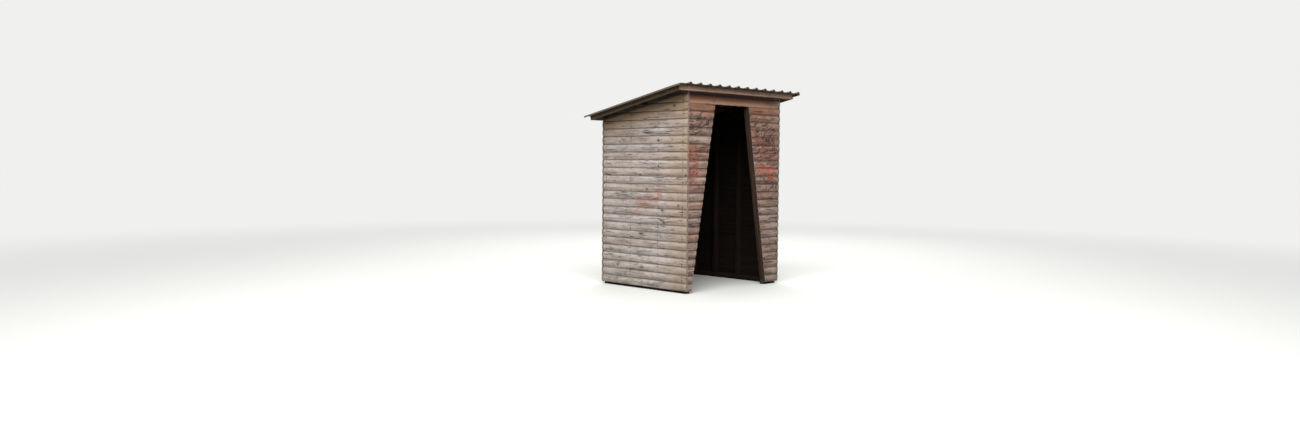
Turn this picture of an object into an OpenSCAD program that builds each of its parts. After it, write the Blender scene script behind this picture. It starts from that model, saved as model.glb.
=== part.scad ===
// Small timber waiting shelter: a post frame clad with horizontal half-log boards,
// a doorway that widens towards the ground, and a single-pitch roof of ribbed sheets
// that falls from the doorway side to the back. The origin is on the ground, under
// the middle of the whole shelter; the doorway faces -Y.

/* [Body] */
// Width over the outer faces of the side walls
body_w = 1800; // [1500:10:2600]
// Depth from the front face to the back face of the walls
body_d = 1520; // [1250:10:2400]
// Height of the underside of the roof sheets above the front face
front_h = 2508; // [2200:1:2800]
// Gap between the ground and the lowest board
ground_gap = 30; // [5:1:50]

/* [Half-log boards] */
// Height of one board as it shows
course_h = 100; // [80:1:140]
// Thickness of a board at its belly
board_t = 28; // [18:1:45]
// How far the belly stands out past the joints
belly = 9; // [3:1:15]

/* [Doorway] */
// Least height of the wall between the head of the doorway and the roof sheets
over_door = 170; // [140:5:300]
// Left edge of the doorway at its head, from the left end of the front
door_top_left = 505; // [300:5:600]
// Right edge of the doorway at its head, from the right end of the front
door_top_right = 655; // [550:5:750]
// Left edge of the doorway at the ground, from the left end of the front
door_foot_left = 95; // [95:1:290]
// Right edge of the doorway at the ground, from the right end of the front
door_foot_right = 260; // [240:5:500]
// How far the lowest board over the doorway hangs past its joint
head_lip = 12; // [2:1:20]

/* [Frame] */
// Side of the square section of the posts, studs and sole timbers
post_s = 60; // [45:1:90]
// Middle of the left wall's first stud, from the front face
left_stud_front = 490; // [300:5:560]
// Middle of the left wall's second stud, from the back face
left_stud_back = 540; // [300:5:580]
// Middle of the right wall's first stud, from the front face
right_stud_front = 640; // [300:5:660]
// Middle of the right wall's second stud, from the back face
right_stud_back = 460; // [300:5:480]
// Depth of the side rafters, square to the slope
rafter_h = 80; // [60:1:120]
// Height of the beam over the back wall
back_beam_h = 80; // [60:1:140]
// Width of a roof purlin along the slope
purlin_w = 80; // [50:1:120]
// Height of a roof purlin, square to the slope
purlin_h = 50; // [35:1:80]

/* [Roof] */
// Slope of the roof in degrees
roof_pitch = 11.5; // [6:0.1:14]
// How far the purlins and edge boards reach past each side wall
verge = 205; // [120:1:300]
// How far the front board stands in front of the front face
eave = 55; // [30:1:150]
// Thickness of the edge boards
edge_t = 24; // [16:1:35]
// Height of the edge boards, square to the slope
edge_h = 62; // [55:1:90]
// How far the sheets stand past the edge boards
sheet_lip = 62; // [20:1:90]

/* [Roof sheets] */
// Distance between ribs
rib_pitch = 176; // [120:1:210]
// Distance from the roof's left edge to the middle of the first rib
first_rib = 200; // [30:1:240]
// Height of a rib above the flat of the sheet
rib_h = 22; // [12:1:40]
// Width of a rib at its foot
rib_foot = 56; // [40:1:80]
// Width of a rib at its top
rib_top = 22; // [10:1:38]
// Thickness of a sheet
sheet_t = 1; // [0.7:0.1:3]
// Flat on each side of the shared rib where two sheets lap
lap_flat = 12; // [5:1:30]
// How far the roof's outer sheet edges are folded down
edge_fold = 19; // [5:1:40]

/* [Hidden] */
$fn = 96;

SHEETS = 3;
big = 4 * (body_w + body_d + front_h);
belly_r = (course_h * course_h / 4 + belly * belly) / (2 * belly);
inner = board_t + post_s;
door_courses = floor((front_h - ground_gap - over_door) / course_h);
door_head = ground_gap + door_courses * course_h;
head_right = body_w - door_top_right;
foot_right = body_w - door_foot_right;
courses = ceil((front_h - ground_gap) / course_h);

roof_w = body_w + 2 * (verge + sheet_lip);
rib_spaces = floor((roof_w - first_rib) / rib_pitch);
sheet_spaces = ceil(rib_spaces / SHEETS);
sheet_front = eave + sheet_lip;
sheet_top = rib_h + 2 * sheet_t;
front_y = -(body_d + sheet_lip - sheet_front
    + (sheet_top - edge_fold) * sin(roof_pitch)) / 2;

timber = [0.36, 0.30, 0.25];
dark_timber = [0.24, 0.18, 0.14];
side_board = [0.52, 0.47, 0.43];
front_board = [0.50, 0.40, 0.33];
edge_board = [0.44, 0.36, 0.30];
sheet_grey = [0.30, 0.28, 0.26];

// Place along the slope at which a point z square to the roof stands over depth y
function along(y, z = 0) = (y - z * sin(roof_pitch)) / cos(roof_pitch);

// Doorway edge at height z, on a straight line from its foot to its head
function jamb(foot, top, z) = foot + (top - foot) * z / door_head;

// Height of the sheet above its flat at distance x from the roof's left edge, which is flat
function rib_height(x) =
    let (i = max(0, round((x - first_rib) / rib_pitch)),
         from_rib = abs(x - first_rib - i * rib_pitch),
         flank = (rib_foot - 2 * from_rib) / (rib_foot - rib_top))
    rib_h * max(0, min(1, flank));

// Two distances from the roof's left edge, with the bend lines of the sheet between them
function bends(from, to) = [
    from,
    for (i = [0 : rib_spaces + 1], e = [-rib_foot, -rib_top, rib_top, rib_foot])
        let (x = first_rib + i * rib_pitch + e / 2)
        if (x > from && x < to) x,
    to
];

// Front edges of the three purlins along the slope
purlin_at = [
    along(edge_t - eave, -edge_h),
    (along(body_d) - purlin_w) / 2,
    along(body_d, -edge_h) - edge_t - purlin_w
];

// Frame whose origin is the left front corner of the walls, on the ground
module on_plan() {
    translate([-body_w / 2, front_y, 0]) children();
}

// Frame in the slope of the roof, its origin at the sheets' underside over the front face
module in_slope() {
    translate([0, 0, front_h]) rotate([-roof_pitch, 0, 0]) children();
}

// Cuts away all that rises past a plane this far under the sheets
module under_roof(drop) {
    difference() {
        children();
        in_slope() translate([-big / 2, -big / 2, -drop]) cube([big, big, big]);
    }
}

// Section of one half-log board: flat inside, rounded outside
module board_section() {
    intersection() {
        square([board_t, course_h]);
        translate([belly_r, course_h / 2]) circle(r = belly_r);
    }
}

// Stack of boards along +X whose rounded side faces -Y
module board_stack(length, first, last) {
    rotate([90, 0, 90]) linear_extrude(length)
        for (i = [first : last - 1])
            translate([0, ground_gap + i * course_h]) board_section();
}

module post(x, y, drop) {
    under_roof(drop) translate([x, y, post_s]) cube([post_s, post_s, front_h]);
}

module sole(x, y, length_x, length_y) {
    translate([x, y, 0]) cube([length_x, length_y, post_s]);
}

module side_rafter(x) {
    intersection() {
        in_slope() translate([x, -body_d, -purlin_h - rafter_h])
            cube([post_s, 3 * body_d, rafter_h]);
        translate([x, board_t, 0]) cube([post_s, body_d - 2 * board_t, front_h]);
    }
}

// One purlin, numbered from the front
module purlin(i, height = purlin_h) {
    in_slope() translate([edge_t - verge, purlin_at[i], -purlin_h])
        cube([body_w + 2 * (verge - edge_t), purlin_w, height]);
}

// Side wall up to the sheets, notched for the purlins
module notched_wall() {
    difference() {
        children();
        in_slope() translate([-big / 2, -big / 2, 0]) cube([big, big, big]);
        purlin(0, 2 * purlin_h);
        purlin(1, 2 * purlin_h);
        purlin(2, 2 * purlin_h);
    }
}

module barge_board(x) {
    in_slope() translate([x, along(edge_t - eave, -edge_h), -edge_h])
        cube([edge_t, along(body_d, -edge_h) - along(edge_t - eave, -edge_h), edge_h]);
}

// One sheet, numbered from the left; every second one laps over its neighbours, and the
// outer edges of the first and the last one are folded down
module roof_sheet(i) {
    lap = rib_foot / 2 + lap_flat;
    first = i == 0;
    last = i == SHEETS - 1;
    from = first ? 0 : first_rib + i * sheet_spaces * rib_pitch - lap;
    to = last ? roof_w : first_rib + (i + 1) * sheet_spaces * rib_pitch + lap;
    below = bends(first ? sheet_t : from, last ? to - sheet_t : to);
    above = bends(from, to);
    length = along(body_d + sheet_lip) + along(sheet_front);
    lift = i % 2 * sheet_t;
    in_slope() translate([-verge - sheet_lip, -along(sheet_front), lift])
        rotate([90, 0, 0]) mirror([0, 0, 1]) linear_extrude(length)
            polygon(concat(
                first ? [[0, -edge_fold], [sheet_t, -edge_fold]] : [],
                [for (x = below) [x, rib_height(x)]],
                last ? [[to - sheet_t, -edge_fold], [to, -edge_fold]] : [],
                [for (j = [len(above) - 1 : -1 : 0]) [above[j], rib_height(above[j]) + sheet_t]]
            ));
}

module sole_left() {
    color(dark_timber) on_plan() sole(board_t, board_t, post_s, body_d - 2 * board_t);
}
module sole_right() {
    color(dark_timber) on_plan()
        sole(body_w - inner, board_t, post_s, body_d - 2 * board_t);
}
module sole_back() {
    color(dark_timber) on_plan() sole(inner, body_d - inner, body_w - 2 * inner, post_s);
}
module sole_front() {
    start = jamb(foot_right, head_right, post_s);
    color(dark_timber) on_plan() sole(start, board_t, body_w - inner - start, post_s);
}

module corner_post_front_left() {
    color(timber) on_plan() post(board_t, board_t, purlin_h + rafter_h);
}
module corner_post_front_right() {
    color(timber) on_plan() post(body_w - inner, board_t, purlin_h + rafter_h);
}
module corner_post_back_left() {
    color(timber) on_plan() post(board_t, body_d - inner, purlin_h + rafter_h);
}
module corner_post_back_right() {
    color(timber) on_plan() post(body_w - inner, body_d - inner, purlin_h + rafter_h);
}

// Leaning post beside the doorway; side is the way from the opening into the wall
module door_post(foot, top, side) {
    low = jamb(foot, top, post_s);
    difference() {
        translate([0, inner, 0]) rotate([90, 0, 0]) linear_extrude(post_s)
            polygon([
                [low, post_s], [top, door_head],
                [top + side * post_s, door_head], [low + side * post_s, post_s]
            ]);
        translate([0, 0, post_s]) cube([inner, 2 * inner, front_h]);
    }
}
module door_post_left() {
    color(timber) on_plan() door_post(door_foot_left, door_top_left, -1);
}
module door_post_right() {
    color(timber) on_plan() door_post(foot_right, head_right, 1);
}

module side_stud(x, middle) {
    post(x, middle - post_s / 2, purlin_h + rafter_h);
}
module stud_left_front() {
    color(timber) on_plan() side_stud(board_t, left_stud_front);
}
module stud_left_back() {
    color(timber) on_plan() side_stud(board_t, body_d - left_stud_back);
}
module stud_right_front() {
    color(timber) on_plan() side_stud(body_w - inner, right_stud_front);
}
module stud_right_back() {
    color(timber) on_plan() side_stud(body_w - inner, body_d - right_stud_back);
}
module stud_back() {
    color(timber) on_plan()
        post((body_w - post_s) / 2, body_d - inner, purlin_h + back_beam_h);
}

module front_beam() {
    color(timber) on_plan() under_roof(purlin_h)
        translate([inner, board_t, door_head]) cube([body_w - 2 * inner, post_s, front_h]);
}
module back_beam() {
    color(timber) on_plan() difference() {
        under_roof(purlin_h)
            translate([inner, body_d - inner, 0]) cube([body_w - 2 * inner, post_s, front_h]);
        under_roof(purlin_h + back_beam_h)
            translate([0, 0, -front_h]) cube([body_w, body_d, 3 * front_h]);
    }
}

module rafter_left() {
    color(timber) on_plan() side_rafter(board_t);
}
module rafter_right() {
    color(timber) on_plan() side_rafter(body_w - inner);
}

module purlin_front() {
    color(timber) on_plan() purlin(0);
}
module purlin_middle() {
    color(timber) on_plan() purlin(1);
}
module purlin_back() {
    color(timber) on_plan() purlin(2);
}

module left_wall() {
    color(side_board) on_plan() notched_wall()
        translate([0, body_d - board_t, 0]) rotate(-90)
            board_stack(body_d - board_t, 0, courses);
}
module right_wall() {
    color(side_board) on_plan() notched_wall()
        translate([body_w, 0, 0]) rotate(90) board_stack(body_d - board_t, 0, courses);
}
module back_wall() {
    color(side_board) on_plan() under_roof(edge_h)
        translate([body_w, body_d, 0]) rotate(180) board_stack(body_w, 0, courses);
}

// Boards beside the doorway, cut along its leaning edge
module front_pier(from, foot, top) {
    intersection() {
        translate([board_t, 0, 0])
            board_stack(body_w - 2 * board_t, 0, door_courses);
        translate([0, board_t, 0]) rotate([90, 0, 0]) linear_extrude(board_t)
            polygon([
                [from, 0], [foot, 0], [top, door_head], [from, door_head]
            ]);
    }
}
module front_wall_left() {
    color(front_board) on_plan()
        front_pier(board_t, door_foot_left, door_top_left);
}
module front_wall_right() {
    color(front_board) on_plan()
        front_pier(body_w - board_t, foot_right, head_right);
}
module front_wall_over_door() {
    low = door_head - head_lip;
    color(front_board) on_plan() {
        under_roof(purlin_h) translate([board_t, 0, 0])
            board_stack(body_w - 2 * board_t, door_courses, courses);
        translate([0, board_t, 0]) rotate([90, 0, 0]) linear_extrude(board_t - belly)
            polygon([
                [jamb(door_foot_left, door_top_left, low), low], [door_top_left, door_head],
                [head_right, door_head], [jamb(foot_right, head_right, low), low]
            ]);
    }
}

module fascia_front() {
    color(edge_board) on_plan() in_slope()
        translate([-verge, along(-eave, -edge_h), -edge_h])
            cube([body_w + 2 * verge, along(edge_t, 0) - along(0, 0), edge_h]);
}
module eave_board_back() {
    color(edge_board) on_plan() in_slope()
        translate([edge_t - verge, along(body_d, -edge_h) - edge_t, -edge_h])
            cube([body_w + 2 * (verge - edge_t), edge_t, edge_h]);
}
module barge_board_left() {
    color(edge_board) on_plan() barge_board(-verge);
}
module barge_board_right() {
    color(edge_board) on_plan() barge_board(body_w + verge - edge_t);
}

module roof_sheet_left() {
    color(sheet_grey) on_plan() roof_sheet(0);
}
module roof_sheet_middle() {
    color(sheet_grey) on_plan() roof_sheet(1);
}
module roof_sheet_right() {
    color(sheet_grey) on_plan() roof_sheet(2);
}

sole_left();
sole_right();
sole_back();
sole_front();
corner_post_front_left();
corner_post_front_right();
corner_post_back_left();
corner_post_back_right();
door_post_left();
door_post_right();
stud_left_front();
stud_left_back();
stud_right_front();
stud_right_back();
stud_back();
front_beam();
back_beam();
rafter_left();
rafter_right();
purlin_front();
purlin_middle();
purlin_back();
left_wall();
right_wall();
back_wall();
front_wall_left();
front_wall_right();
front_wall_over_door();
fascia_front();
eave_board_back();
barge_board_left();
barge_board_right();
roof_sheet_left();
roof_sheet_middle();
roof_sheet_right();
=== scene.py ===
"""Looks of a small timber waiting shelter, built in metres round its packed construction.

Half-log boards, frame timbers, edge boards, nails and ribbed sheets are modelled at their
real size, take procedural finishes and stand for the plain construction solids.
"""

import logging
import math
import random
from contextlib import contextmanager
from dataclasses import dataclass, field, replace
from enum import Enum
from typing import Callable, Iterator, Sequence, Union

import bmesh
import bpy
import numpy as np
from mathutils import Matrix, Vector


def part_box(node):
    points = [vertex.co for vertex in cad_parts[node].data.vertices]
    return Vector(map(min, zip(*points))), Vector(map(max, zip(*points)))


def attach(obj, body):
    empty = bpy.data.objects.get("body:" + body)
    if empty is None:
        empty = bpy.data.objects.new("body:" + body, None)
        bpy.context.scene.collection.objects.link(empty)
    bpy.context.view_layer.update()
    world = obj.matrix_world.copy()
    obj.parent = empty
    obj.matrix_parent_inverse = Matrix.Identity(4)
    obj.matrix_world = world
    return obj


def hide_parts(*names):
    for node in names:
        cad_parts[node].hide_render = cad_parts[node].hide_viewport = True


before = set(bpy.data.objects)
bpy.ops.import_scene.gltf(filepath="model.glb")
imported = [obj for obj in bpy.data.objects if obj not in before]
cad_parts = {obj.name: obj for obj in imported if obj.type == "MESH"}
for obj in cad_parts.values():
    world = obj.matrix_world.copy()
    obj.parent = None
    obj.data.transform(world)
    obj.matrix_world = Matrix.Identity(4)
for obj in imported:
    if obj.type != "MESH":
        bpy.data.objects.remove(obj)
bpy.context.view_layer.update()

LOG = logging.getLogger("shelter")

Piece = bpy.types.Object
Material = bpy.types.Material
Value = Union["Socket", float, int, Sequence[float]]
Plane = tuple[Vector, Vector]
Line = tuple[float, float]
Colour = tuple[float, float, float, float]

# Distance within which two places are taken as one
NEAR = 1e-5

# Least share of a face's direction along an axis for the face to look that way
SQUARE = 0.7

# Keeps the grain of a timber's upper and lower faces away from that of its sides
FLAT_SHIFT = 0.37


class Lay(Enum):
    """Material slot that a face of a timber takes."""

    FACE = 0
    END = 1
    INNER = 2


class Across(Enum):
    """Axis that runs across a wall."""

    X = 0
    Y = 1


def srgb(red: float, green: float, blue: float) -> Colour:
    """Turns a screen colour into the renderer's linear values.

    Args:
        red: Red, 0 to 255.
        green: Green, 0 to 255.
        blue: Blue, 0 to 255.

    Returns:
        The linear colour, opaque.
    """

    def line(v: float) -> float:
        """Linear value of one channel."""
        v /= 255
        return v / 12.92 if v <= 0.04045 else ((v + 0.055) / 1.055) ** 2.4

    return line(red), line(green), line(blue), 1.0


@dataclass(frozen=True)
class Hut:
    """Sizes shared by all pieces, in metres and radians, from the left front corner.

    The edges of the doorway lean, so each has a place at the foot and one at the top.
    """

    width: float = 1.8
    depth: float = 1.52
    front_height: float = 2.508
    ground_gap: float = 0.03
    course: float = 0.1
    board: float = 0.028
    belly: float = 0.009
    head_courses: int = 23
    top_left: float = 0.505
    top_right: float = 1.145
    foot_left: float = 0.095
    foot_right: float = 1.54
    head_lip: float = 0.012
    post: float = 0.06
    pitch: float = math.radians(11.5)
    verge: float = 0.205
    eave: float = 0.055
    edge_height: float = 0.062
    edge: float = 0.024
    sheet_lip: float = 0.062
    rib_pitch: float = 0.176
    rib_foot: float = 0.056
    first_rib: float = 0.2
    purlin_height: float = 0.05
    purlin_width: float = 0.08
    left_studs: tuple[float, float] = (0.49, 0.98)
    right_studs: tuple[float, float] = (0.64, 1.06)
    nail_ups: Line = (0.024, 0.076)
    nail_row: float = 0.075

    @property
    def head(self) -> float:
        """Height of the doorway's head."""
        return self.ground_gap + self.head_courses * self.course

    @property
    def back_height(self) -> float:
        """Height under which all boards of the side walls run through."""
        rise = self.depth * math.tan(self.pitch) + 2 * self.purlin_height
        return self.front_height - rise - self.course

    @property
    def corner(self) -> Vector:
        """Left front corner of the walls, on the ground."""
        return Vector((-self.width / 2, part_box("left_wall")[0].y, 0))

    def plan(self) -> Matrix:
        """Frame whose origin is the left front corner."""
        return Matrix.Translation(self.corner)

    def slope(self) -> Matrix:
        """Frame in the roof's slope, its origin at the sheets' underside over the front."""
        lift = Matrix.Translation((0, 0, self.front_height))
        return self.plan() @ lift @ Matrix.Rotation(-self.pitch, 4, "X")

    def along(self, y: float, z: float = 0.0) -> float:
        """Place along the slope over depth y of a point z square to the roof."""
        return (y - z * math.sin(self.pitch)) / math.cos(self.pitch)

    def purlins(self) -> tuple[float, float, float]:
        """Finds the purlins' middles along the slope.

        Returns:
            Their places, from the front to the back.
        """
        inset = self.edge + self.purlin_width / 2
        front = self.along(-self.eave, -self.edge_height) + inset
        back = self.along(self.depth, -self.edge_height) - inset
        return front, self.along(self.depth) / 2, back

    def jamb_line(self, foot: float, top: float, shift: float) -> Line:
        """Line beside a leaning doorway edge, shifted sideways, along the front boards."""
        return foot + shift - self.board, (top - foot) / self.head

    def roof_cut(self, drop: float) -> Plane:
        """Plane this far under the sheets; what lies past it is cut away."""
        slope = self.slope()
        return slope @ Vector((0, 0, -drop)), slope.to_3x3() @ Vector((0, 0, 1))

    def jamb_cut(self, foot: float, top: float, side: int) -> Plane:
        """Finds the plane along a doorway edge.

        Args:
            foot: Place of the edge at the ground.
            top: Its place at the doorway's head.
            side: Way from the wall into the opening, 1 or -1.

        Returns:
            Place and direction of the cut.
        """
        place = self.plan() @ Vector((foot, 0, 0))
        lean = Vector((top - foot, 0, self.head))
        return place, (lean.cross(Vector((0, -1, 0))) * side).normalized()


HUT = Hut()
SIDES = ("left", "right", "back")


# Modelling


def take(piece: Piece) -> None:
    """Selects one piece alone and makes it the active one.

    Args:
        piece: The piece.
    """
    bpy.ops.object.select_all(action="DESELECT")
    piece.select_set(True)
    bpy.context.view_layer.objects.active = piece


@contextmanager
def editing(piece: Piece) -> Iterator[None]:
    """Opens a piece in edit mode with nothing selected.

    Args:
        piece: The mesh object to shape.
    """
    take(piece)
    bpy.ops.object.mode_set(mode="EDIT")
    bpy.ops.mesh.select_mode(type="VERT")
    bpy.ops.mesh.select_all(action="DESELECT")
    try:
        yield
    finally:
        bpy.ops.object.mode_set(mode="OBJECT")


def pick(kind: str, test: Callable[[Vector, Vector], bool]) -> None:
    """Selects vertices, edges or faces of the open piece by place.

    Args:
        kind: VERT, EDGE or FACE.
        test: Takes the centre and the direction or normal of an element.
    """
    bpy.ops.mesh.select_mode(type=kind)
    bpy.ops.mesh.select_all(action="DESELECT")
    mesh = bmesh.from_edit_mesh(bpy.context.object.data)
    if kind == "VERT":
        for v in mesh.verts:
            v.select_set(test(v.co, v.normal))
    elif kind == "EDGE":
        for e in mesh.edges:
            a, b = (v.co for v in e.verts)
            e.select_set(test((a + b) / 2, (b - a).normalized()))
    else:
        for f in mesh.faces:
            f.select_set(test(f.calc_center_median(), f.normal))
    bmesh.update_edit_mesh(bpy.context.object.data)


def settle(piece: Piece, name: str) -> Piece:
    """Names a new piece and moves its place, turn and size into its mesh.

    Args:
        piece: The new piece.
        name: Its name.

    Returns:
        The piece, itself at the origin.
    """
    piece.name = piece.data.name = name
    move(piece, piece.matrix_basis.copy())
    piece.matrix_basis = Matrix.Identity(4)
    return piece


def primitive(add: Callable[..., object], name: str, **settings: object) -> Piece:
    """Adds a simple shape to start a piece from.

    Args:
        add: Operator that adds the shape.
        name: Name of the new piece.
        settings: Sizes and place for the operator.

    Returns:
        The new piece, its place in its mesh.
    """
    bpy.ops.object.select_all(action="DESELECT")
    add(**settings)
    return settle(bpy.context.object, name)


def block(name: str, low: Sequence[float], high: Sequence[float]) -> Piece:
    """Adds a block between two corners, its place in its mesh.

    Args:
        name: Name of the piece.
        low: Lowest corner.
        high: Highest corner.

    Returns:
        The new piece.
    """
    low, high = Vector(low), Vector(high)
    place, size = (low + high) / 2, high - low
    return primitive(bpy.ops.mesh.primitive_cube_add, name, size=1, location=place, scale=size)


def move(piece: Piece, matrix: Matrix) -> None:
    """Moves the mesh of a piece, which itself stays at the origin."""
    piece.data.transform(matrix)
    piece.data.update()


def copy_of(piece: Piece, name: str) -> Piece:
    """Copies a piece with a mesh of its own.

    Args:
        piece: The piece to copy.
        name: Name of the copy.

    Returns:
        The copy, at the origin and without a parent.
    """
    made = bpy.data.objects.new(name, piece.data.copy())
    made.data.name = name
    bpy.context.scene.collection.objects.link(made)
    return made


def copy_of_node(node: str, name: str) -> Piece:
    """Copies a construction node as a clean closed mesh with flat faces.

    Args:
        node: Name of the node.
        name: Name of the new piece.

    Returns:
        The merged copy.
    """
    made = copy_of(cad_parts[node], name)
    made.data.materials.clear()
    with editing(made):
        bpy.ops.mesh.select_all(action="SELECT")
        bpy.ops.mesh.remove_doubles(threshold=NEAR)
        bpy.ops.mesh.dissolve_limited(angle_limit=math.radians(1))
        bpy.ops.mesh.customdata_custom_splitnormals_clear()
    return made


def cut(piece: Piece, planes: Sequence[Plane], open_cut: bool = False) -> bool:
    """Cuts away what lies past each plane and closes the cut.

    Args:
        piece: The piece to cut.
        planes: Place and direction of each cut.
        open_cut: Leaves the cut open, as on a sheet without thickness.

    Returns:
        Whether anything of the piece is left.
    """
    with editing(piece):
        for place, direction in planes:
            bpy.ops.mesh.select_all(action="SELECT")
            bpy.ops.mesh.bisect(
                plane_co=place, plane_no=direction, use_fill=not open_cut, clear_outer=True
            )
    return len(piece.data.vertices) > 3


def slice_along(piece: Piece, start: Vector, end: Vector, count: int) -> None:
    """Adds evenly spaced loops across a long piece, so that it can warp.

    Args:
        piece: The piece to slice.
        start: Middle of its first end.
        end: Middle of its other end.
        count: Number of stretches between the loops.
    """
    way = end - start
    with editing(piece):
        for i in range(1, count):
            bpy.ops.mesh.select_all(action="SELECT")
            bpy.ops.mesh.bisect(plane_co=start + way * i / count, plane_no=way.normalized())


def join(pieces: Sequence[Piece], name: str) -> Piece:
    """Joins pieces into one mesh.

    Args:
        pieces: At least one piece; the first one gives the slots their order.
        name: Name of the joined piece.

    Returns:
        The joined piece.
    """
    take(pieces[0])
    for piece in pieces[1:]:
        piece.select_set(True)
    if len(pieces) > 1:
        bpy.ops.object.join()
    pieces[0].name = pieces[0].data.name = name
    return pieces[0]


def modify(piece: Piece, kind: str, **settings: object) -> None:
    """Adds a modifier and applies it.

    Args:
        piece: The piece to change.
        kind: Type of the modifier.
        settings: Its settings by name.
    """
    take(piece)
    modifier = piece.modifiers.new(kind.lower(), kind)
    for key, value in settings.items():
        setattr(modifier, key, value)
    bpy.ops.object.modifier_apply(modifier=modifier.name)


def warp(piece: Piece, reach: float, spread: float) -> None:
    """Moves the surface in and out a little, as timber and thin metal do with age.

    Args:
        piece: The piece to warp.
        reach: Furthest move, in metres.
        spread: Size of the swells, in metres.
    """
    swell = bpy.data.textures.new("swell", "CLOUDS")
    swell.noise_scale = spread
    modify(piece, "DISPLACE", texture=swell, texture_coords="LOCAL", strength=2 * reach,
           mid_level=0.5)
    bpy.data.textures.remove(swell)


def round_edges(piece: Piece, width: float, degrees: float = 40) -> None:
    """Rounds the edges of a piece that are sharper than this."""
    modify(piece, "BEVEL", width=width, segments=2, limit_method="ANGLE",
           angle_limit=math.radians(degrees))


def smooth(piece: Piece, degrees: float) -> None:
    """Shades a piece smooth, apart from edges sharper than this."""
    take(piece)
    bpy.ops.object.shade_smooth_by_angle(angle=math.radians(degrees))


def read(items: bpy.types.bpy_prop_collection, key: str, kind: type, width: int) -> np.ndarray:
    """Reads one property of all vertices, corners or faces.

    Args:
        items: The vertices, corners or faces.
        key: Name of the property.
        kind: Type of its numbers.
        width: How many numbers it has.

    Returns:
        A row of numbers for each item, or just a number if it has one.
    """
    rows = np.empty(len(items) * width, kind)
    items.foreach_get(key, rows)
    return rows.reshape(-1, width) if width > 1 else rows


def lay_grain(piece: Piece, seed: float, local: Matrix, inner: bool) -> None:
    """Writes where each corner lies in its timber, and gives cut ends their own slot.

    The attribute grain holds the place along the timber, the place round it and a number
    of its own for each timber. On a cut end it holds the place across the section.

    Args:
        piece: The timber.
        seed: Number of the timber.
        local: Frame whose X axis runs along the timber.
        inner: Whether faces towards local +Y take the slot for inner faces.
    """
    mesh = piece.data
    back = np.array(local.inverted())
    turn = back[:3, :3].T
    co = read(mesh.vertices, "co", np.float32, 3) @ turn + back[:3, 3]
    corners = read(mesh.loops, "vertex_index", np.int32, 1)
    totals = read(mesh.polygons, "loop_total", np.int32, 1)
    normals = read(mesh.polygons, "normal", np.float32, 3) @ turn
    size = np.abs(normals)
    end = size[:, 0] > SQUARE
    face = np.repeat(np.arange(len(totals)), totals)
    at, flat, ended = co[corners], (size[:, 2] > size[:, 1])[face], end[face]
    round_it = np.where(flat, at[:, 1] + FLAT_SHIFT, at[:, 2])
    value = np.stack(
        [
            np.where(ended, at[:, 1], at[:, 0]),
            np.where(ended, at[:, 2], round_it),
            np.full(len(at), seed, np.float32),
        ],
        axis=1,
    ).astype(np.float32)
    grain = mesh.attributes.new("grain", "FLOAT_VECTOR", "CORNER")
    grain.data.foreach_set("vector", value.ravel())
    slots = np.where(end, Lay.END.value, Lay.FACE.value).astype(np.int32)
    if inner:
        slots[normals[:, 1] > SQUARE] = Lay.INNER.value
    mesh.polygons.foreach_set("material_index", slots)
    mesh.update()


def give_finish(piece: Piece, finish: Sequence[Material]) -> None:
    """Gives a piece its materials, in the order of its slots."""
    for material in finish:
        piece.data.materials.append(material)


def dress(piece: Piece, nodes: Sequence[str] = ()) -> None:
    """Hands a finished piece over to the shelter's body.

    Args:
        piece: The finished piece.
        nodes: Construction nodes that it stands for.
    """
    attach(piece, "root")
    if nodes:
        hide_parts(*nodes)
    LOG.info("%s: %d faces", piece.name, len(piece.data.polygons))


def scatter(
    head: Piece, places: Sequence[Matrix], name: str, finish: Material, degrees: float
) -> None:
    """Copies the head of a nail or screw to all its places, as one piece.

    Args:
        head: The head, which is used up.
        places: Place and turn of each copy.
        name: Name of the piece.
        finish: Its finish.
        degrees: Sharpest edge that is shaded smooth.
    """
    copies = [copy_of(head, name + "_copy") for _ in places]
    for made, place in zip(copies, places):
        move(made, place)
    bpy.data.objects.remove(head)
    piece = join(copies, name)
    give_finish(piece, [finish])
    smooth(piece, degrees)
    dress(piece)


# Shader maths


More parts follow.
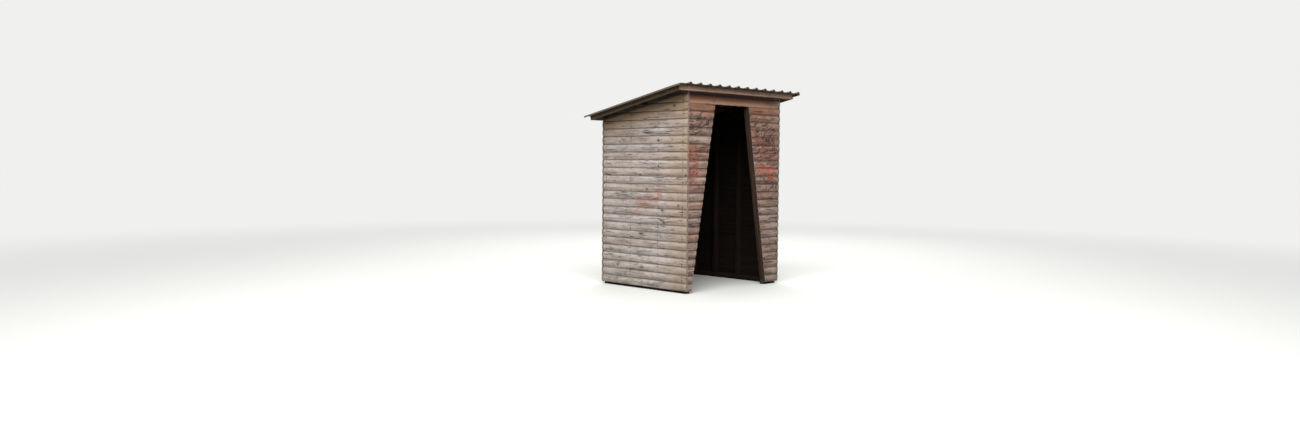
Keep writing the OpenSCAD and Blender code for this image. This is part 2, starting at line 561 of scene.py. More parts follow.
class Socket:
    """Output of a shader node on which Python arithmetic adds Math nodes."""

    def __init__(self, tree: "Tree", socket: bpy.types.NodeSocket) -> None:
        """Keeps the output and the tree it belongs to."""
        self.tree, self.socket = tree, socket

    def __add__(self, other: Value) -> "Socket":
        """Sum."""
        return self.tree.math("ADD", self, other)

    __radd__ = __add__

    def __mul__(self, other: Value) -> "Socket":
        """Product."""
        return self.tree.math("MULTIPLY", self, other)

    __rmul__ = __mul__

    def __sub__(self, other: Value) -> "Socket":
        """Difference."""
        return self.tree.math("SUBTRACT", self, other)

    def __rsub__(self, other: Value) -> "Socket":
        """Difference from a number."""
        return self.tree.math("SUBTRACT", other, self)

    def __truediv__(self, other: Value) -> "Socket":
        """Quotient."""
        return self.tree.math("DIVIDE", self, other)

    def __abs__(self) -> "Socket":
        """Size without sign."""
        return self.tree.math("ABSOLUTE", self)

    def sine(self) -> "Socket":
        """Sine of an angle in radians."""
        return self.tree.math("SINE", self)

    def fraction(self) -> "Socket":
        """What is left over a whole number."""
        return self.tree.math("FRACT", self)

    def root(self) -> "Socket":
        """Square root."""
        return self.tree.math("SQRT", self)

    def most(self, other: Value) -> "Socket":
        """The larger of two values."""
        return self.tree.math("MAXIMUM", self, other)

    def least(self, other: Value) -> "Socket":
        """The smaller of two values."""
        return self.tree.math("MINIMUM", self, other)

    def crack(self, wide: float, narrow: float) -> "Socket":
        """Thin lines where a noise passes its middle value."""
        return abs(self - 0.5).ease(wide, narrow)

    def ease(self, start: float, end: float) -> "Socket":
        """Rises smoothly from 0 at start to 1 at end, in either direction."""
        return self.tree.node(
            "ShaderNodeMapRange",
            {"interpolation_type": "SMOOTHSTEP"},
            {"Value": self, "From Min": start, "From Max": end},
        )


class Tree:
    """Nodes of one material or world, added by kind, settings and inputs."""

    def __init__(self, name: str, world: bool = False) -> None:
        """Starts an empty material or world.

        Args:
            name: Its name.
            world: Whether it is a world.
        """
        self.kind = "World" if world else "Material"
        self.owner = (bpy.data.worlds if world else bpy.data.materials).new(name)
        self.owner.use_nodes = True
        self.nodes, self.links = self.owner.node_tree.nodes, self.owner.node_tree.links
        self.nodes.clear()

    def node(
        self,
        kind: str,
        settings: dict[str, object] | None = None,
        inputs: dict[str | int, Value] | None = None,
        output: str | int = 0,
    ) -> Socket:
        """Adds a node.

        Args:
            kind: Type name of the node.
            settings: Its own settings, which are set first.
            inputs: Values or links by the name or number of its inputs.
            output: Name or number of the output to go on with.

        Returns:
            That output.
        """
        made = self.nodes.new(kind)
        for key, value in (settings or {}).items():
            setattr(made, key, value)
        for key, value in (inputs or {}).items():
            if isinstance(value, Socket):
                self.links.new(value.socket, made.inputs[key])
            else:
                made.inputs[key].default_value = value
        return Socket(self, made.outputs[output])

    def math(self, operation: str, *values: Value) -> Socket:
        """Adds a Math node."""
        return self.node("ShaderNodeMath", {"operation": operation}, dict(enumerate(values)))

    def combine(self, x: Value, y: Value, z: Value) -> Socket:
        """Makes a vector of three values."""
        return self.node("ShaderNodeCombineXYZ", None, {0: x, 1: y, 2: z})

    def split(self, vector: Socket) -> tuple[Socket, Socket, Socket]:
        """Takes a vector apart.

        Args:
            vector: The vector.

        Returns:
            Its three values.
        """
        x = self.node("ShaderNodeSeparateXYZ", None, {0: vector})
        outputs = x.socket.node.outputs
        return x, Socket(self, outputs[1]), Socket(self, outputs[2])

    def place(self) -> Socket:
        """Place on the object, which is the place in the shelter."""
        return self.node("ShaderNodeTexCoord", None, None, "Object")

    def grain(self) -> tuple[Socket, Socket, Socket]:
        """Place along a timber, place round it and the timber's number."""
        return self.split(
            self.node("ShaderNodeAttribute", {"attribute_name": "grain"}, None, "Vector")
        )

    def noise(
        self, vector: Socket, scale: float, detail: float = 2.0, rough: float = 0.5
    ) -> Socket:
        """Smooth noise between 0 and 1."""
        return self.node(
            "ShaderNodeTexNoise",
            None,
            {"Vector": vector, "Scale": scale, "Detail": detail, "Roughness": rough},
        )

    def streaks(
        self, along: Value, around: Value, seed: Value, detail: float = 2.0, rough: float = 0.5
    ) -> Socket:
        """Noise between 0 and 1, drawn out by the scale of each of its three places."""
        return self.noise(self.combine(along, around, seed), 1.0, detail, rough)

    def chance(self, seed: Socket, output: str | int = 0) -> Socket:
        """Random number, or colour, of a timber."""
        return self.node(
            "ShaderNodeTexWhiteNoise", {"noise_dimensions": "1D"}, {"W": seed}, output
        )

    def seen(self) -> Socket:
        """1 for the camera and for reflections, 0 for the light that falls on the shelter."""
        camera, glossy = (
            self.node("ShaderNodeLightPath", None, None, f"Is {ray} Ray")
            for ray in ("Camera", "Glossy")
        )
        return glossy.most(camera)

    def mix(self, share: Value, first: Value, second: Value, blend: str = "MIX") -> Socket:
        """Mixes two colours."""
        return self.node(
            "ShaderNodeMix",
            {"data_type": "RGBA", "blend_type": blend},
            {0: share, 6: first, 7: second},
            2,
        )

    def tint(self, colour: Socket, strength: Value) -> Socket:
        """Makes a colour lighter or darker by a factor."""
        return self.node(
            "ShaderNodeVectorMath", {"operation": "SCALE"}, {0: colour, "Scale": strength}
        )

    def bump(self, height: Socket, strength: float, distance: float) -> Socket:
        """Turns a height into a surface direction."""
        return self.node(
            "ShaderNodeBump", None, {"Height": height, "Strength": strength, "Distance": distance}
        )

    def finish(
        self, colour: Value, roughness: Value, normal: Socket | None = None, **others: Value
    ) -> Material:
        """Ends the material in a surface.

        Args:
            colour: Base colour.
            roughness: Roughness.
            normal: Surface direction from a bump.
            others: Values or links of other inputs, with underscores for spaces.

        Returns:
            The material.
        """
        inputs: dict[str | int, Value] = {"Base Color": colour, "Roughness": roughness}
        if normal:
            inputs["Normal"] = normal
        for key, value in others.items():
            inputs[key.replace("_", " ")] = value
        return self.end(self.node("ShaderNodeBsdfPrincipled", None, inputs))

    def end(self, surface: Socket) -> Material | bpy.types.World:
        """Links a surface to the output.

        Args:
            surface: The last shader.

        Returns:
            The finished material or world.
        """
        output = self.nodes.new("ShaderNodeOutput" + self.kind)
        self.links.new(surface.socket, output.inputs[0])
        return self.owner


# Finishes


@dataclass(frozen=True)
class Tones:
    """Colours of bare boards."""

    pale: Colour
    deep: Colour
    warm: Colour
    bleached: Colour
    sheltered_and_shaded: Colour


@dataclass(frozen=True)
class Smear:
    """One worn patch of old paint on a wall.

    Its middle runs from start to end, each a place across the wall and a height. Its
    strokes go from an even wash, 0, to single strokes, 1, that slant by so many radians.
    """

    start: Line
    end: Line
    width: float
    colour: Colour
    cover: float
    strokes: float = 0.0
    slant: float = 0.6


@dataclass(frozen=True)
class BoardFace:
    """Bare outer face of half-log boards, weathered by rain and sun.

    Wear, dirt, painted shade and painted highlight go from 0 for none to 1. The painted shade
    under the eave begins at the first distance of its reach and is full at the second.
    """

    name: str
    tones: Tones
    nail_lines: tuple[Line, ...]
    across: Across = Across.Y
    smears: tuple[Smear, ...] = ()
    contrast: float = 1.0
    eave_shade: float = 0.0
    eave_shade_reach: Line = (0.165, 0.05)
    eave_shade_colour: Colour = (0.0, 0.0, 0.0, 1.0)
    under_roof_shade: float = 0.0
    corner_darkening: float = 0.0
    right_wear: float = 0.0
    head_wear_and_highlight: float = 0.0
    joint_dirt_and_shade: float = 0.72
    joint_reach: float = 0.09
    knot_cell: float = 0.19
    stain_drop: float = 0.002

    def build(self) -> Material:
        """Makes the material.

        Returns:
            The material.
        """
        tree = Tree(self.name)
        along, around, seed = tree.grain()
        place = tree.place()
        x, y, z = tree.split(place)
        other = seed * 3.7
        height = ((z - HUT.ground_gap) / HUT.course).fraction()
        pale, deep, warm, bleached = (
            self.tones.pale, self.tones.deep, self.tones.warm, self.tones.bleached
        )

        # Knots, with the growth lines bent round them
        spot = tree.combine(along * (0.8 / self.knot_cell), around / self.knot_cell, other)
        knot_far = self.knot_cell * tree.node(
            "ShaderNodeTexVoronoi", {"feature": "F1"}, {"Vector": spot, "Scale": 1.0}, "Distance"
        )
        knot, knot_rim = knot_far.ease(0.015, 0.008), knot_far.ease(0.03, 0.014)
        wander = tree.streaks(along * 1.6, around * 9, other)
        lay = around + wander * 0.012 + knot_far.ease(0.07, 0.0) * 0.02
        ring = (lay * 1150).sine() * 0.5 + 0.5
        streak = tree.streaks(along * 1.4, lay * 40, other, 4.0, 0.6)
        blotch = tree.streaks(along * 3.2, lay * 17, other + 3, 3.0, 0.6)
        dash = tree.streaks(along * 12, lay * 80, other + 7, 3.0, 0.65)
        fibre = tree.streaks(along * 16, lay * 620, other)
        where = tree.streaks(along * 3.5, around * 12, other, 1.0)
        split = tree.streaks(along * 1.3, lay * 42, other + 11, 1.0).crack(0.03, 0.01)
        split = split * where.ease(0.5, 0.6)

        # Every board has a tone of its own
        one, two, three = tree.split(tree.chance(seed, "Color"))
        patch = tree.streaks(along * 2.1, around * 7, other + 5, 3.0)
        colour = tree.mix(one.ease(0.3, 0.9), pale, warm)
        colour = tree.mix(patch.ease(0.52, 0.68) * 0.6, colour, warm)
        dark = blotch.ease(0.42, 0.62) * 0.3 + streak.ease(0.45, 0.66) * 0.36
        dark = dark + dash.ease(0.5, 0.66) * 0.5 + ring * 0.08
        colour = tree.mix(dark * self.contrast, colour, deep)
        colour = tree.tint(colour, two * 0.3 + fibre * 0.3 + 0.76)

        # Bleached in patches, the more the nearer to the ground
        bleach = patch.ease(0.5, 0.3) * 0.35 + z.ease(1.9, 0.4) * 0.25 + three * 0.15
        colour = tree.mix(bleach * (1 - dark), colour, bleached)
        fleck = tree.streaks(along * 34, around * 60, other).ease(0.64, 0.7)
        colour = tree.mix((dash.ease(0.42, 0.32) + fleck) * 0.5, colour, bleached)

        colour = self.shelter(tree, colour, x, y, z)
        drip = tree.streaks(along * 30, z * 3, other).ease(0.45, 0.8)
        colour = self.dirty(tree, colour, height, z, drip)

        # Nail stains, knots, splits, and splashed soil with green growth at the foot
        foot = z.ease(0.4, 0.05) * tree.noise(place, 9.0, 3.0).ease(0.35, 0.7)
        for mark, share, tone in (
            (self.stain(tree, along, height, z), 0.7, srgb(66, 50, 42)),
            (knot_rim, 0.5, srgb(98, 74, 58)),
            (knot, 0.85, srgb(46, 32, 26)),
            (split, 0.85, srgb(36, 28, 24)),
            (foot, 0.45, srgb(104, 104, 76)),
        ):
            colour = tree.mix(mark * share, colour, tone)
        if self.smears:
            rubbed = dash.ease(0.62, 0.5) * 0.5 + 0.5
            colour = self.paint(tree, colour, (x, y)[self.across.value], z, rubbed)

        relief = streak * 0.5 + fibre * 0.35 + ring * 0.12 - split * 1.4 - knot_rim * 0.2
        return tree.finish(colour, 0.93 - streak * 0.1, tree.bump(relief, 0.6, 0.0016))

    def shelter(self, tree: Tree, colour: Socket, x: Socket, y: Socket, z: Socket) -> Socket:
        """Browns and dims the wood near the front corner, and browns it and paints shade on it
        under the roof.

        Args:
            tree: The material's nodes.
            colour: Colour so far.
            x: Place across the front.
            y: Place from the front to the back.
            z: Height.

        Returns:
            The colour, browned, with painted shade under the roof and bleached to the right.
        """
        sheltered_and_shaded, y = self.tones.sheltered_and_shaded, y - HUT.corner.y
        # Browner and dimmer towards the front corner
        corner = y.ease(0.5, 0.05) * self.corner_darkening
        colour = tree.tint(tree.mix(corner, colour, sheltered_and_shaded), 1 - corner * 0.25)
        under = HUT.front_height - y * math.tan(HUT.pitch) - z
        # Browner under the roof, as wood out of the rain weathers less, and deeper there as
        # painted shade
        colour = tree.mix(under.ease(0.4, 0.1) * 0.85, colour, sheltered_and_shaded)
        # Painted shade: a dim band lower under the roof
        under_roof_shade = under.ease(0.8, 0.35) * under.ease(0.12, 0.26) * self.under_roof_shade
        # Painted shade, dark brown, close under the eave
        shade = under.ease(*self.eave_shade_reach) * self.eave_shade
        colour = tree.tint(tree.mix(shade, colour, self.eave_shade_colour, "MULTIPLY"), 1 - under_roof_shade)
        return tree.mix(x.ease(0.7, 0.89) * self.right_wear, colour, self.tones.bleached)

    def dirty(self, tree: Tree, colour: Socket, height: Socket, z: Socket, drip: Socket) -> Socket:
        """Lays dirt and painted shade in the joints, drips below them, a painted highlight low on
        each board, and wear with a painted highlight over the doorway's head.

        Args:
            tree: The material's nodes.
            colour: Colour so far.
            height: Height within a board, 0 to 1.
            z: Height.
            drip: Where water runs down, 0 to 1.

        Returns:
            The colour with dirt, painted shade and painted highlights.
        """
        # Dark joints, with dirt and painted shade on the top of each board under the one above
        top = 1 - self.joint_reach
        grime = height.ease(0.02, 0.0).most(height.ease(top, top + 0.04)) * self.joint_dirt_and_shade
        grime = grime.most(height.ease(top - 0.11, top + 0.03) * (self.joint_dirt_and_shade * 0.72))
        if self.head_wear_and_highlight:
            # Lighter band over the doorway's head: wear and a painted highlight
            over = z - HUT.head
            edge = over.ease(0.045, 0.0) * over.ease(-0.004, 0.0) * self.head_wear_and_highlight
            colour = tree.mix(edge, colour, self.tones.bleached)
            # A dark line beside the doorway under the lip's level: joint line and painted shade
            below = (over + HUT.head_lip).ease(-0.035, -0.004) * over.ease(0.0, -0.004)
            grime = grime.most(below * 0.4)
        # Painted highlight: the lowest part of each board is lightened against its own shade
        colour = tree.tint(colour, (1 - grime) * (height.ease(0.24, 0.06) * 0.12 + 1))
        return tree.tint(colour, 1 - height.ease(0.5, 0.0) * drip * 0.12)

    def stain(self, tree: Tree, along: Socket, height: Socket, z: Socket) -> Socket:
        """Finds the dark stains round and below the nails.

        Args:
            tree: The material's nodes.
            along: Place along the boards.
            height: Height within a board, 0 to 1.
            z: Height.

        Returns:
            How far each place is stained, 0 to 1.
        """
        far, *others = (abs(along - start - z * lean) for start, lean in self.nail_lines)
        for off in others:
            far = far.least(off)
        low, high = (abs(height * HUT.course - (up - self.stain_drop)) for up in HUT.nail_ups)
        rise = (low * 0.5).least(high * 0.7)
        some = tree.streaks(along * 4, z * 14, 3.0, 1.0).ease(0.47, 0.6)
        spread = tree.noise(tree.place(), 13.0, 1.0) * 0.012 + 0.001
        return ((far * far + rise * rise).root() - spread).ease(0.005, 0.0) * some

    def paint(
        self, tree: Tree, colour: Socket, across: Socket, z: Socket, rubbed: Socket
    ) -> Socket:
        """Lays the worn patches of paint over the wood.

        Args:
            tree: The material's nodes.
            colour: Colour so far.
            across: Place across the wall.
            z: Height.
            rubbed: What the weather has left of the paint along the grain, 0 to 1.

        Returns:
            The colour with the patches.
        """
        wobble = tree.noise(tree.place(), 8.0, 2.0) * 0.08 - 0.04
        worn = tree.noise(tree.place(), 46.0, 3.0, 0.7).ease(0.3, 0.52) * rubbed
        across, z = across + wobble, z - wobble
        for i, smear in enumerate(self.smears):
            start, way = Vector(smear.start), Vector(smear.end) - Vector(smear.start)
            u, v = across - start.x, z - start.y
            ahead = (u * way.x + v * way.y) / way.length
            over = ahead - ahead.most(0.0).least(way.length)
            side = (u * way.y - v * way.x) / way.length
            far = (over * over + side * side).root()
            cover = far.ease(smear.width * 0.65, smear.width * 0.35) * worn
            if smear.strokes:
                lean, rise = math.cos(smear.slant), math.sin(smear.slant)
                run, pile = (u * lean + v * rise) * 9, (v * lean - u * rise) * 42
                stroke = tree.streaks(run, pile, float(i)).ease(0.49, 0.55)
                cover = cover * (stroke * smear.strokes + (1 - smear.strokes))
            colour = tree.mix(cover * smear.cover, colour, smear.colour)
        return colour


@dataclass(frozen=True)
class CutEnd:
    """Sawn end of a timber, with growth rings and drying splits."""

    name: str
    pale: Colour
    deep: Colour
    heart: Line = (0.05, 0.05)

    def build(self) -> Material:
        """Makes the material.

        Returns:
            The material.
        """
        tree = Tree(self.name)
        across, up, seed = tree.grain()
        section = tree.combine(across, up, seed * 2.3)
        u, v = across - self.heart[0], up - self.heart[1]
        far = (u * u + v * v).root() + tree.noise(section, 24.0) * 0.004
        ring = (far * 1500).sine() * 0.5 + 0.5
        turn = tree.math("ARCTAN2", u, v)
        split = tree.streaks(turn * 3.2, far * 4, seed * 5.1).crack(0.02, 0.004)
        grime = tree.noise(tree.place(), 40.0, 3.0)
        colour = tree.mix(ring * 0.5, self.pale, self.deep)
        colour = tree.mix(grime.ease(0.35, 0.75) * 0.5, colour, self.deep)
        colour = tree.mix(split * 0.9, colour, srgb(20, 15, 12))
        height = ring * 0.4 - split * 1.5 + grime * 0.4
        return tree.finish(colour, 0.92, tree.bump(height, 0.5, 0.0012))


@dataclass(frozen=True)
class SawnFace:
    """Rough sawn face of a frame timber or of a board's inner side, dark with age; its colours
    inside the shelter are darkened further as painted shade.
    """

    name: str
    pale: Colour
    deep: Colour
    shine: float = 0.1

    def build(self) -> Material:
        """Makes the material.

        Returns:
            The material.
        """
        tree = Tree(self.name)
        along, around, seed = tree.grain()
        other = seed * 5.3
        streak = tree.streaks(along * 1.8, around * 55, other, 4.0, 0.6)
        fibre = tree.streaks(along * 20, around * 700, other)
        jitter = tree.streaks(along * 6, around * 4, other)
        saw = ((along + around * 0.12 + jitter * 0.006) * 1400).sine() * 0.5 + 0.5
        split = tree.streaks(along * 1.1, around * 40, other + 7, 1.0).crack(0.012, 0.003)
        split = split * jitter.ease(0.45, 0.6)
        patch = tree.noise(tree.place(), 3.2, 3.0)
        colour = tree.mix(streak.ease(0.35, 0.7), self.pale, self.deep)
        tone = tree.chance(seed) * 0.3 + fibre * 0.3 + patch * 0.5 + 0.45
        colour = tree.mix(split * 0.9, tree.tint(colour, tone), srgb(16, 12, 10))
        height = streak * 0.5 + fibre * 0.4 + saw * 0.125 - split * 1.5
        bump = tree.bump(height, 0.6, 0.0014)
        return tree.finish(colour, 0.9, bump, Specular_IOR_Level=self.shine)


@dataclass(frozen=True)
class PlanedEdge:
    """Face of the boards round the roof's edge: planed once, now grey and dirty.

    Moss is the share of green specks. The lower edge is darkened by the damp share, partly as damp
    wood and partly as painted shade of the shadow under the board.
    """

    name: str
    pale: Colour
    deep: Colour
    moss: float
    damp_edge_shade: float = 0.0

    def build(self) -> Material:
        """Makes the material.

        Returns:
            The material.
        """
        tree = Tree(self.name)
        along, around, seed = tree.grain()
        other = seed * 4.1
        streak = tree.streaks(along * 1.6, around * 60, other, 4.0, 0.6)
        fibre = tree.streaks(along * 14, around * 640, other)
        patch = tree.noise(tree.place(), 4.5, 4.0, 0.6)
        spots = tree.noise(tree.place(), 60.0, 2.0, 0.6).ease(0.6, 0.72)
        split = tree.streaks(along * 1.2, around * 50, other + 5, 1.0).crack(0.01, 0.003)
        split = split * patch.ease(0.48, 0.6)
        colour = tree.mix(streak.ease(0.35, 0.75) * 0.8, self.pale, self.deep)
        colour = tree.mix(patch.ease(0.45, 0.8) * 0.5, colour, self.deep)
        colour = tree.tint(colour, fibre * 0.3 + 0.85)
        colour = tree.mix(spots * self.moss, colour, srgb(112, 108, 60))
        colour = tree.mix(split * 0.85, colour, srgb(26, 20, 16))
        # Painted shade, with damp: the lower edge darkened
        if self.damp_edge_shade:
            colour = tree.tint(colour, 1 - around.ease(-0.0005, -0.0035) * self.damp_edge_shade)
        height = streak * 0.5 + fibre * 0.3 + spots * 0.3 - split * 1.4
        return tree.finish(colour, 0.88, tree.bump(height, 0.5, 0.0012))


@dataclass(frozen=True)
class SheetCoat:
    """Coat of the ribbed sheets: dull brown grey, with dirt, rust and lichen."""

    name: str
    coat: Colour
    dirt: Colour
    growth: float = 0.5

    def build(self) -> Material:
        """Makes the material.

        Returns:
            The material.
        """
        tree = Tree(self.name)
        place = tree.place()
        x, y, z = tree.split(place)
        across = (x - HUT.corner.x + HUT.verge + HUT.sheet_lip - HUT.first_rib) / HUT.rib_pitch
        rib = abs((across + 0.5).fraction() - 0.5)
        run = tree.streaks(x * 15, y * 0.8, z * 0.8, 4.0, 0.6)
        cloud = tree.noise(place, 3.0, 4.0, 0.6)
        blot = tree.noise(place, 13.0, 4.0, 0.65)
        speck = tree.noise(place, 90.0, 2.0, 0.6)
        lichen = tree.noise(place, 24.0, 3.0, 0.65).ease(0.62, 0.7) * cloud.ease(0.4, 0.6)
        rust = tree.streaks(x * 18, y * 2.2, z * 2.2 + 9, 4.0, 0.65).ease(0.64, 0.74)
        colour = tree.mix(run.ease(0.3, 0.75) * 0.45, self.coat, self.dirt)
        colour = tree.mix(blot.ease(0.45, 0.75) * 0.45, colour, self.dirt)
        colour = tree.tint(colour, cloud * 0.4 + speck * 0.2 + 0.7)

        # Crowns lighter, worn and a painted highlight; dirt and painted shade where a rib meets
        # the flat; stains below the screws
        foot = HUT.rib_foot / 2 / HUT.rib_pitch
        colour = tree.tint(colour, rib.ease(foot * 0.6, foot * 0.3) * 0.14 + 1)
        gutter_dirt_and_shade = abs(rib - foot - 0.012).ease(0.05, 0.0) * (blot * 0.9 + 0.25)
        colour = tree.tint(colour, 1 - gutter_dirt_and_shade * 0.5)
        every_second = (across * 0.5).fraction().ease(0.501, 0.499)
        stain = (0.5 - rib).ease(0.09, 0.01) * every_second * run.ease(0.25, 0.5)
        below: Value = 0.0
        for purlin in HUT.purlins():
            down = y - HUT.corner.y - purlin * math.cos(HUT.pitch)
            below = down.ease(-0.006, 0.004) * down.ease(0.34, 0.02) + below
        colour = tree.mix(stain * below * 0.8, colour, srgb(70, 46, 32))

        colour = tree.mix(rust * (self.growth * 1.4), colour, srgb(98, 58, 36))
        colour = tree.mix(lichen * self.growth, colour, srgb(126, 124, 92))
        roughness = 0.5 + cloud * 0.2 + blot * 0.2 + rust * 0.1
        height = speck * 0.3 + lichen * 0.8 + rust * 0.3 + blot * 0.2
        return tree.finish(colour, roughness, tree.bump(height, 0.35, 0.0008))


@dataclass(frozen=True)
class OldSteel:
    """Nail and screw heads."""

    name: str
    steel: Colour
    rust: Colour
    metallic: float = 0.6

    def build(self) -> Material:
        """Makes the material.

        Returns:
            The material.
        """
        tree = Tree(self.name)
        spot = tree.noise(tree.place(), 260.0, 3.0, 0.6)
        patch = tree.noise(tree.place(), 11.0, 1.0)
        rusty = (spot * 0.6 + patch * 0.6).ease(0.45, 0.7)
        colour, bump = tree.mix(rusty, self.steel, self.rust), tree.bump(spot, 0.3, 0.0004)
        return tree.finish(colour, rusty * 0.35 + 0.5, bump, Metallic=(1 - rusty) * self.metallic)


# Assemblies


@dataclass
class HalfLog:
    """One half-log board, modelled once for each length and then copied.

    The rebate is the depth of the groove at a joint, as a share of the thickness. The
    arris is how far the rounded face springs back beside it.
    """

    length: float
    tongue: float = 0.0025
    rebate: float = 0.55
    arris: float = 0.0012
    rows: tuple[float, ...] = (
        0.0015, 0.006, 0.014, 0.025, 0.038, 0.05, 0.062, 0.075, 0.086, 0.094, 0.0985
    )
    steps: int = 22

    def depth(self, z: float) -> float:
        """How far the rounded face lies behind its belly at height z of the board."""
        return HUT.belly * (2 * z / HUT.course - 1) ** 2

    def model(self) -> Piece:
        """Shapes a block into a board with a rounded face and a rebate at each joint.

        Returns:
            The board, along X from the origin, its rounded face towards -Y.
        """
        board = block("half_log", (0, 0, 0), (self.length, HUT.board, HUT.course))
        for z in self.rows:
            with editing(board):
                bpy.ops.mesh.select_all(action="SELECT")
                bpy.ops.mesh.bisect(plane_co=(0, 0, z), plane_no=(0, 0, 1))
        with editing(board):
            for z in (0.0, *self.rows, HUT.course):
                back = self.depth(z)
                if z in (0.0, HUT.course):
                    back = HUT.board * self.rebate
                elif z in (self.rows[0], self.rows[-1]):
                    back += self.arris
                pick("VERT", lambda co, _: co.y < NEAR and abs(co.z - z) < NEAR)
                bpy.ops.transform.translate(value=(0, back, 0))
            pick("VERT", lambda co, _: co.z > HUT.course - NEAR)
            bpy.ops.transform.translate(value=(0, 0, self.tongue))
            pick("VERT", lambda co, _: co.z > HUT.course and co.y > HUT.board - NEAR)
            bpy.ops.transform.translate(value=(0, -self.tongue, 0))
        slice_along(board, Vector((0, 0, 0)), Vector((self.length, 0, 0)), self.steps)
        return board


@dataclass
class Nails:
    """Flat nail heads, modelled once and copied along their lines."""

    radius: float = 0.0036
    proud: float = 0.0014
    rim: float = 0.35
    dome: float = 0.4
    heads: list[Matrix] = field(default_factory=list)

    def model(self) -> Piece:
        """Makes one head that faces -Y from a disc with a raised middle.

        Returns:
            The head, open at the back.
        """
        head = primitive(
            bpy.ops.mesh.primitive_cylinder_add, "nail_head", vertices=8,
            radius=self.radius, depth=2 * self.proud, rotation=(math.pi / 2, 0, 0),
        )
        with editing(head):
            pick("FACE", lambda _, n: n.y > 0.9)
            bpy.ops.mesh.delete(type="FACE")
            pick("FACE", lambda _, n: n.y < -0.9)
            bpy.ops.mesh.inset(thickness=self.radius * self.rim)
            bpy.ops.transform.translate(value=(0, -self.proud * self.dome, 0))
        return head

    def build(self, name: str, finish: Material) -> None:
        """Drives all nails as one piece, if there are any.

        Args:
            name: Name of the piece.
            finish: Its finish.
        """
        if self.heads:
            scatter(self.model(), self.heads, name, finish, 40)


@dataclass
class BoardWall:
    """A wall, or a part of one, of half-log boards with their nails."""

    node: str
    slot: str
    template: Piece
    local: Matrix
    first: int
    last: int
    finish: list[Material]
    nail: Material
    nail_lines: Sequence[Line]
    cuts: Sequence[Plane]
    notches: Sequence[Piece]
    number: int
    shift: tuple[float, float, float] = (0.0015, 0.0014, 0.0005)
    tilt: float = 0.03
    nail_shift: Line = (0.004, 0.003)
    nail_margin: float = 0.012
    swell: Line = (0.0009, 0.35)

    def board(self, i: int, chance: random.Random) -> Piece | None:
        """Lays one board, a little out of true, and cuts it to the wall's outline.

        Args:
            i: Its course from the ground.
            chance: Source of its small errors.

        Returns:
            The board, or nothing where the outline leaves none of it.
        """
        low = HUT.ground_gap + i * HUT.course
        local = self.local @ Matrix.Translation((0, 0, low))
        along, back, up = self.shift
        out_of_true = Matrix.Translation((
            chance.uniform(-along, along), chance.uniform(0.0, back), chance.uniform(-up, up)
        )) @ Matrix.Rotation(math.radians(chance.uniform(-self.tilt, self.tilt)), 4, "Y")
        board = copy_of(self.template, "board")
        move(board, local @ out_of_true)
        if not cut(board, self.cuts):
            bpy.data.objects.remove(board)
            return None
        if low > HUT.back_height:
            for notch in self.notches:
                modify(board, "BOOLEAN", object=notch, operation="DIFFERENCE", solver="EXACT")
        give_finish(board, self.finish)
        lay_grain(board, self.number * 40 + i + 1, local, inner=True)
        return board

    def nails(self, chance: random.Random) -> Nails:
        """Places two nails where a board crosses each post.

        Args:
            chance: Source of their small errors.

        Returns:
            The nails with their places.
        """
        nails, shape = Nails(), HalfLog(1.0)
        across, rise = self.nail_shift
        turn = self.local.to_quaternion().to_matrix().to_4x4()
        for i in range(self.first, self.last):
            for start, lean in self.nail_lines:
                for up in HUT.nail_ups:
                    z = HUT.ground_gap + i * HUT.course + up + chance.uniform(-rise, rise)
                    x = start + lean * z + chance.uniform(-across, across)
                    place = self.local @ Vector((x, shape.depth(up), z))
                    if all((place - co).dot(no) < -self.nail_margin for co, no in self.cuts):
                        nails.heads.append(Matrix.Translation(place) @ turn)
        return nails

    def build(self, extra: Sequence[Piece] = ()) -> None:
        """Lays all boards and drives their nails.

        Args:
            extra: Further pieces of this wall.
        """
        chance = random.Random(self.number + 11)
        boards = [self.board(i, chance) for i in range(self.first, self.last)]
        wall = join([b for b in boards if b] + list(extra), self.node + "_boards")
        warp(wall, *self.swell)
        smooth(wall, 32)
        self.nails(chance).build("nails_" + self.node, self.nail)
        dress(wall, [self.node])


